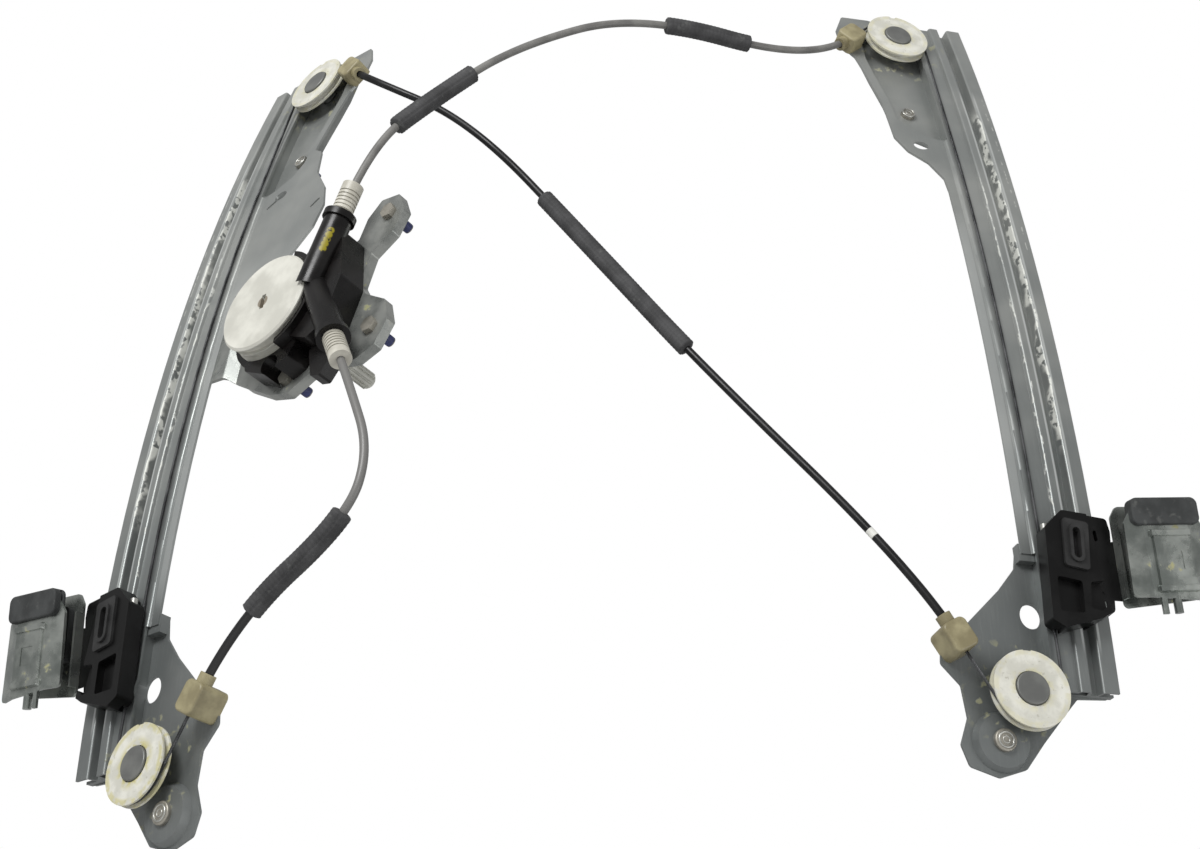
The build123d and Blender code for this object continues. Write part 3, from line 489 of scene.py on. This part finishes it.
for side in ("left", "right"):
    lower_oil = 0.85 if side == "left" else 0.4
    give(greased_wheel(side + "_lower_wheel", side, "lower", lower_oil), side + "_lower_pulley")
    give(greased_wheel(side + "_upper_wheel", side, "upper", 0.4), side + "_upper_pulley")
give(plastic("clip_plastic", (120, 112, 84), (150, 142, 110)), *both("lower_clip", "upper_clip"))
give(plastic("carrier_plastic", (8, 8, 8), (14, 14, 14), rough=(0.3, 0.44), shine=0.22), *both("carrier"))
give(plastic("insert_plastic", (34, 34, 34), (46, 46, 46), rough=(0.35, 0.5), shine=0.3), *both("insert"))
give(drum_plastic(), "cable_drum")
give(plastic("shaft_plastic", (158, 158, 150), (184, 184, 176)), "drive_shaft")
give(housing_plastic(), "drum_housing")
give(plastic("sleeve_plastic", (166, 163, 152), (190, 187, 176)),
     "upper_tension_sleeve", "lower_tension_sleeve")
give(rubber("pad_rubber", (38, 40, 40)), *both("front_pad", "rear_pad"))
give(rubber("foam_sleeve", (34, 35, 36), 0.9), "upper_conduit_foam_near", "upper_conduit_foam_far",
     "lower_conduit_foam", "cross_conduit_foam")
give(plastic("conduit_grey", (118, 120, 120), (140, 142, 142)), "upper_conduit", "lower_conduit")
give(plastic("conduit_black", (24, 24, 25), (36, 36, 37)), "cross_conduit")


# meshes swept along a line
def frames(points):
    """Distance, place and two cross directions at each point, turned as little as possible."""
    out = []
    far = 0.0
    side = None
    for i, p in enumerate(points):
        along = (points[min(i + 1, len(points) - 1)] - points[max(i - 1, 0)]).normalized()
        if side is None:
            side = along.orthogonal().normalized()
        else:
            far += (p - points[i - 1]).length
            side = (side - along * side.dot(along)).normalized()
        out.append((far, p, side, along.cross(side)))
    return out


def resample(points, step):
    """Points at even distances along a line."""
    out = [points[0]]
    left = step
    for a, b in zip(points, points[1:]):
        long = (b - a).length
        at = 0.0
        while long - at >= left:
            at += left
            left = step
            out.append(a.lerp(b, at / long))
        left -= long - at
    if (points[-1] - out[-1]).length > step * 0.3:
        out.append(points[-1])
    return out


def object_of(name, verts, faces, mat, body, slot):
    """A smooth mesh piece that rides on a body; slot may be None."""
    mesh = bpy.data.meshes.new(name)
    mesh.from_pydata(verts, [], faces)
    mesh.validate()
    mesh.polygons.foreach_set("use_smooth", [True] * len(mesh.polygons))
    mesh.materials.append(mat)
    o = bpy.data.objects.new(name, mesh)
    scene.collection.objects.link(o)
    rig.ride(o, body)
    if slot:
        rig.slot(o, slot)
    return o


def swept(rings, verts, faces, closed_ends=True):
    """Adds rings of points as a skin."""
    n = len(rings[0])
    base = len(verts)
    for ring in rings:
        verts.extend(ring)
    for i in range(len(rings) - 1):
        a = base + i * n
        for k in range(n):
            m = (k + 1) % n
            faces.append((a + k, a + m, a + n + m, a + n + k))
    if closed_ends:
        faces.append(tuple(base + k for k in reversed(range(n))))
        faces.append(tuple(base + (len(rings) - 1) * n + k for k in range(n)))


def tube_rings(points, radius, segments, crease=0.0):
    """Rings round a line; radius is a function of the distance along it, in metres.
    crease is the depth of six grooves along the tube."""
    rings = []
    for far, p, a, b in frames(points):
        r = radius(far)
        rings.append([p + (a * math.cos(t) + b * math.sin(t))
                      * (r - crease * max(0.0, math.cos(6 * t)) ** 8)
                      for t in (2 * math.pi * k / segments for k in range(segments))])
    return rings


def rope(name, points, diameter, pitch, mat, body, slot):
    """A wire rope of six twisted strands round a core."""
    verts, faces = [], []
    line = frames(resample(points, pitch / 9))
    strand = diameter * 0.19
    lay = diameter / 2 - strand
    for k in range(6):
        rings = []
        for far, p, a, b in line:
            t = 2 * math.pi * (far / pitch + k / 6)
            out = a * math.cos(t) + b * math.sin(t)
            across = b * math.cos(t) - a * math.sin(t)
            middle = p + out * lay
            rings.append([middle + (out * math.cos(q) + across * math.sin(q)) * strand
                          for q in (2 * math.pi * j / 6 for j in range(6))])
        swept(rings, verts, faces)
    core = [[p + (a * math.cos(q) + b * math.sin(q)) * lay
             for q in (2 * math.pi * j / 6 for j in range(6))]
            for far, p, a, b in line]
    swept(core, verts, faces)
    return object_of(name, verts, faces, mat, body, slot)


# the wire ropes of the rails
WIRE_U, WIRE_W, PITCH_RADIUS, WIRE_REACH = 25.6, 0.6, 19.2, 98.31
ROPE_DIAMETER, ROPE_PITCH = 0.0018, 0.0085
# per end: the track's end and the way it goes on, the clip's end as seen from the pin (inward, up),
# and the direction in degrees of the straight rope from the wheel to the clip. These last three and
# WIRE_REACH repeat numbers that part.py works out.
WIRE_ENDS = {"lower": (-127.0, -1, 36.2, 25.3, 60.7), "upper": (162.0, 1, 33.2, -6.3, -45.4)}


def pulley_point(side, end, x, y, z=0.0):
    """A point of a pulley's plane: x inward and y up from its pin, z toward the viewer."""
    touch, way = WIRE_ENDS[end][:2]
    a = touch / BOW
    r = BOW + WIRE_W
    along = Vector((0, math.sin(a), math.cos(a)))
    out = Vector((0, -math.cos(a), math.sin(a)))
    origin = Vector((WIRE_U, BOW - r * math.cos(a), r * math.sin(a)))
    p = origin + Vector((PITCH_RADIUS, 0, 0)) + along * (way * WIRE_REACH)
    return row(SIDES[side] @ (p + Vector((x, 0, 0)) + along * y + out * z))


def wire_end(side, end):
    """Points from the clip round the pulley to the track."""
    touch, way, cx, cy, turn = WIRE_ENDS[end]
    leave = math.radians(turn + way * 90)
    pts = [pulley_point(side, end, cx, cy)]
    steps = 28
    for i in range(steps + 1):
        a = leave + (way * math.pi - leave) * i / steps
        pts.append(pulley_point(side, end, PITCH_RADIUS * math.cos(a), PITCH_RADIUS * math.sin(a)))
    return pts


WIRE = steel("strand_steel", (58, 59, 60), (96, 97, 98), rough=(0.35, 0.5), metallic=0.85)
for side in ("left", "right"):
    low = wire_end(side, "lower")
    high = wire_end(side, "upper")
    track = [on_rail(side, WIRE_U, s, WIRE_W) for s in range(-127, 163, 4)]
    line = low + track + high[::-1]
    piece = rope(side + "_wire_rope", line, ROPE_DIAMETER, ROPE_PITCH, WIRE, "frame", "wire_rope")
    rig.replaces(piece, side + "_wire")


# the conduits and their foam: radii, heights and lengths in metres
CASING_RADIUS = 0.0023
FOAM_INSIDE, FOAM_WALL, SHOULDER = 0.0026, 0.0027, 0.0009
RING_HEIGHT, RING_PITCH, GROOVE_DEPTH = 0.00014, 0.0025, 0.0004


def conduit(node, points, mat, slot):
    """A casing along a spline, and the spline's own line as a list of points."""
    curve = bpy.data.curves.new(node + "_casing", "CURVE")
    curve.dimensions = "3D"
    curve.resolution_u = 24
    line = curve.splines.new("NURBS")
    line.points.add(len(points) - 1)
    for q, p in zip(line.points, points):
        q.co = (*p, 1.0)
    line.order_u = 3
    line.use_endpoint_u = True
    o = bpy.data.objects.new(node + "_casing", curve)
    scene.collection.objects.link(o)
    bpy.context.view_layer.update()
    flat = bpy.data.meshes.new_from_object(o.evaluated_get(bpy.context.evaluated_depsgraph_get()))
    centre = [v.co.copy() for v in flat.vertices]
    bpy.data.meshes.remove(flat)
    curve.bevel_depth = CASING_RADIUS
    curve.bevel_resolution = 8
    curve.use_fill_caps = True
    curve.materials.append(mat)
    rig.ride(o, "frame")
    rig.slot(o, slot)
    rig.replaces(o, node)
    return o, centre


def foam_sleeve(node, centre, start, end, mat):
    """A foam sleeve with fine rings and with grooves along it, round a stretch of a conduit.
    Start and end are shares of the conduit's length."""
    step = 0.0005
    line = resample(centre, step)
    n = len(line) - 1
    part = line[int(start * n):int(end * n) + 1]
    whole = (len(part) - 1) * step

    def radius(far):
        shoulder = min(1.0, min(far, whole - far) / SHOULDER)
        rib = 0.5 + 0.5 * math.cos(2 * math.pi * far / RING_PITCH)
        return FOAM_INSIDE + (FOAM_WALL + RING_HEIGHT * rib) * math.sqrt(max(0.02, shoulder))

    verts, faces = [], []
    swept(tube_rings(part, radius, 48, GROOVE_DEPTH), verts, faces)
    o = object_of(node + "_sleeve", verts, faces, mat, "frame", "foam")
    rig.replaces(o, node)
    return o


UPPER_ROUTE = [
    (-0.0171, -0.0212, -0.0040), (-0.0045, -0.0212, 0.0402), (0.0130, 0.0014, 0.0860),
    (0.0450, 0.0294, 0.1380), (0.0930, 0.0854, 0.1920), (0.1569, 0.1870, 0.2027),
    (0.1715, 0.2108, 0.2380)]
LOWER_ROUTE = [
    (-0.0034, -0.0180, -0.1024), (0.0163, -0.0180, -0.1394), (0.0330, -0.0126, -0.1800),
    (0.0230, -0.0096, -0.2140), (-0.0528, -0.0029, -0.2459), (-0.0723, 0.0000, -0.2807)]
CROSS_ROUTE = [
    (-0.0746, 0.0071, 0.1668), (-0.0507, 0.0045, 0.1428), (-0.0050, 0.0514, 0.1210),
    (0.0550, 0.1094, 0.0310), (0.1070, 0.1554, -0.0480), (0.2000, 0.2211, -0.1744),
    (0.2130, 0.2408, -0.2067)]

GREY = plastic("casing_grey", (98, 97, 95), (116, 115, 112), rough=(0.35, 0.5), shine=0.35)
BLACK = plastic("casing_black", (14, 14, 15), (24, 24, 25), rough=(0.3, 0.45), shine=0.3)
PART_BLACK = two_tone("casing_grey_and_black", (106, 105, 103), (18, 18, 19), -236)
FOAM = rubber("foam_rings", (45, 45, 46), 0.8)
upper, upper_line = conduit("upper_conduit", UPPER_ROUTE, GREY, "conduit_grey")
lower, lower_line = conduit("lower_conduit", LOWER_ROUTE, PART_BLACK, "conduit_grey")
cross, cross_line = conduit("cross_conduit", CROSS_ROUTE, BLACK, "conduit_black")

near_foam = foam_sleeve("upper_conduit_foam_near", upper_line, 0.16, 0.32, FOAM)
far_foam = foam_sleeve("upper_conduit_foam_far", upper_line, 0.66, 0.80, FOAM)
lower_foam = foam_sleeve("lower_conduit_foam", lower_line, 0.50, 0.80, FOAM)
cross_foam = foam_sleeve("cross_conduit_foam", cross_line, 0.32, 0.58, FOAM)
for piece, route, long, sleeves in ((upper, UPPER_ROUTE, 0.4185, [near_foam, far_foam]),
                                    (lower, LOWER_ROUTE, 0.2395, [lower_foam]),
                                    (cross, CROSS_ROUTE, 0.5375, [cross_foam])):
    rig.cord(piece, exit=route[0], length=long, diameter=0.0046, far_end="object", stiffness="stiff",
            lay="loose", with_pieces=sleeves)


# a paint ring on the cross conduit
def collar(name, line, start, end, radius, mat):
    """A short smooth ring on the frame, round a stretch of a line given as shares of its length."""
    part = resample(line, 0.0005)
    n = len(part) - 1
    verts, faces = [], []
    swept(tube_rings(part[int(start * n):int(end * n) + 1], lambda far: radius, 24), verts, faces)
    return object_of(name, verts, faces, mat, "frame", None)


PAINT = plastic("white_paint", (196, 196, 190), (216, 216, 210))
collar("cross_paint_ring", cross_line, 0.868, 0.877, 0.00236, PAINT)


# threads, thread lock and rings of the studs, in metres
THREAD_CORE, THREAD_HEIGHT, THREAD_PITCH = 0.00302, 0.00012, 0.001
CHAMFER, CHAMFER_LENGTH = 0.0007, 0.0006


def reach(node, place, way, around=0.007):
    """How far a node reaches from a place along a direction."""
    far = [(v.co - place, (v.co - place).dot(way)) for v in nodes[node].data.vertices]
    return max(t for d, t in far if (d - way * t).length < around)


def threaded_tip(name, node, place, way, long, mat):
    """A threaded sleeve on the last stretch of a stud."""
    tip = place + way * (reach(node, place, way) + 0.0001)
    start = tip - way * long
    points = [start.lerp(tip, i / 60) for i in range(61)]

    def radius(far):
        crest = 2 * abs((far / THREAD_PITCH) % 1.0 - 0.5)
        return THREAD_CORE + THREAD_HEIGHT * crest - (CHAMFER if far > long - CHAMFER_LENGTH else 0.0)

    verts, faces = [], []
    swept(tube_rings(points, radius, 24), verts, faces)
    return object_of(name, verts, faces, mat, "frame", "fastener_steel")


def hoop(name, centre, axis, radius, wire, mat):
    """A round ring that stands on a stud's head."""
    a = axis.orthogonal().normalized()
    b = axis.cross(a)
    turns = [2 * math.pi * i / 40 for i in range(41)]
    points = [centre + (a * math.cos(t) + b * math.sin(t)) * radius for t in turns]
    verts, faces = [], []
    swept(tube_rings(points, lambda far: wire, 8), verts, faces, closed_ends=False)
    return object_of(name, verts, faces, mat, "frame", "fastener_steel")


NAVY = plastic("thread_lock", (30, 36, 74), (46, 54, 104), rough=(0.45, 0.6))
RING = steel("ring_steel", (150, 150, 146), (180, 180, 174), rough=(0.25, 0.35))
for i, (x, z) in enumerate(BRACKET_STUDS):
    place = row((x, BRACKET_BACK, z))
    threaded_tip("bracket_thread_%d" % i, "bracket_studs", place, Vector((0, 1, 0)), 0.009, NAVY)
for side in ("left", "right"):
    for end, u, s in RAIL_STUDS:
        place = on_rail(side, u, s, 0)
        front = (on_rail(side, u, s, 1) - place).normalized()
        node = end + "_rail_studs"
        threaded_tip("%s_%s_thread" % (side, end), node, place, -front, 0.008, NAVY)
        face = place + front * reach(node, place, front)
        hoop("%s_%s_head_ring" % (side, end), face, front, 0.0040, 0.0006, RING)
        hoop("%s_%s_head_eye" % (side, end), face, front, 0.0018, 0.0004, RING)

# stage, light and camera
FLOOR_DROP = 0.75
floor_z = cad_box[0][2] - FLOOR_DROP
bpy.ops.mesh.primitive_plane_add(size=12, location=(0, 0, floor_z))
floor = bpy.context.object
floor.name = "floor"
sh = Shader("pale_floor")
tone = sh.ramp(sh.noise(900, 2), 0.3, 0.7)
floor.data.materials.append(sh.finish(sh.mix(tone, (0.86, 0.86, 0.86, 1), (0.9, 0.9, 0.9, 1)), 0.8))
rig.stage(floor)

world = bpy.data.worlds.new("studio")
scene.world = world
world.use_nodes = True
tree = world.node_tree
tree.nodes.clear()
out = tree.nodes.new("ShaderNodeOutputWorld")
soft = tree.nodes.new("ShaderNodeBackground")
soft.inputs[0].default_value = (1, 1, 1, 1)
soft.inputs[1].default_value = 0.46
seen = tree.nodes.new("ShaderNodeBackground")
seen.inputs[0].default_value = (1, 1, 1, 1)
seen.inputs[1].default_value = 1.0
path = tree.nodes.new("ShaderNodeLightPath")
mixer = tree.nodes.new("ShaderNodeMixShader")
tree.links.new(path.outputs["Is Camera Ray"], mixer.inputs[0])
tree.links.new(soft.outputs[0], mixer.inputs[1])
tree.links.new(seen.outputs[0], mixer.inputs[2])
tree.links.new(mixer.outputs[0], out.inputs[0])

AIM = Vector((0.03, 0.09, 0.0))


def lamp(name, place, power, size):
    """A square lamp that looks at the part."""
    data = bpy.data.lights.new(name, "AREA")
    data.energy = power
    data.size = size
    o = bpy.data.objects.new(name, data)
    o.location = place
    o.rotation_euler = (AIM - Vector(place)).to_track_quat("-Z", "Y").to_euler()
    scene.collection.objects.link(o)


# the camera's right, up and back directions and its place
cam_x = Vector((0.7941, 0.6027, 0.0786))
cam_y = Vector((0.2999, -0.5011, 0.8117))
cam_z = Vector((0.5286, -0.6210, -0.5787))
CAMERA_AT = (0.56143, -0.46334, -0.63838)
lamp("key", AIM + cam_y * 1.5 + cam_z * 1.0 - cam_x * 0.7, 38, 0.9)
lamp("fill", AIM + cam_x * 1.5 + cam_z * 1.1 - cam_y * 0.3, 10, 1.2)
lamp("low", AIM - cam_y * 1.5 + cam_z * 0.7, 3, 1.2)

cam_data = bpy.data.cameras.new("camera")
cam_data.lens = 51.0
cam_data.sensor_width = 36.0
cam_data.clip_start = 0.02
cam = bpy.data.objects.new("camera", cam_data)
turn = Matrix((cam_x, cam_y, cam_z)).transposed().to_4x4()
cam.matrix_world = Matrix.Translation(CAMERA_AT) @ turn
scene.collection.objects.link(cam)
scene.camera = cam
scene.view_settings.view_transform = "Standard"

visual_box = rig.bounds()
json.dump({"cad": [list(map(float, p)) for p in cad_box], "visual": [list(map(float, p)) for p in visual_box]},
          open("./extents.json", "w"))
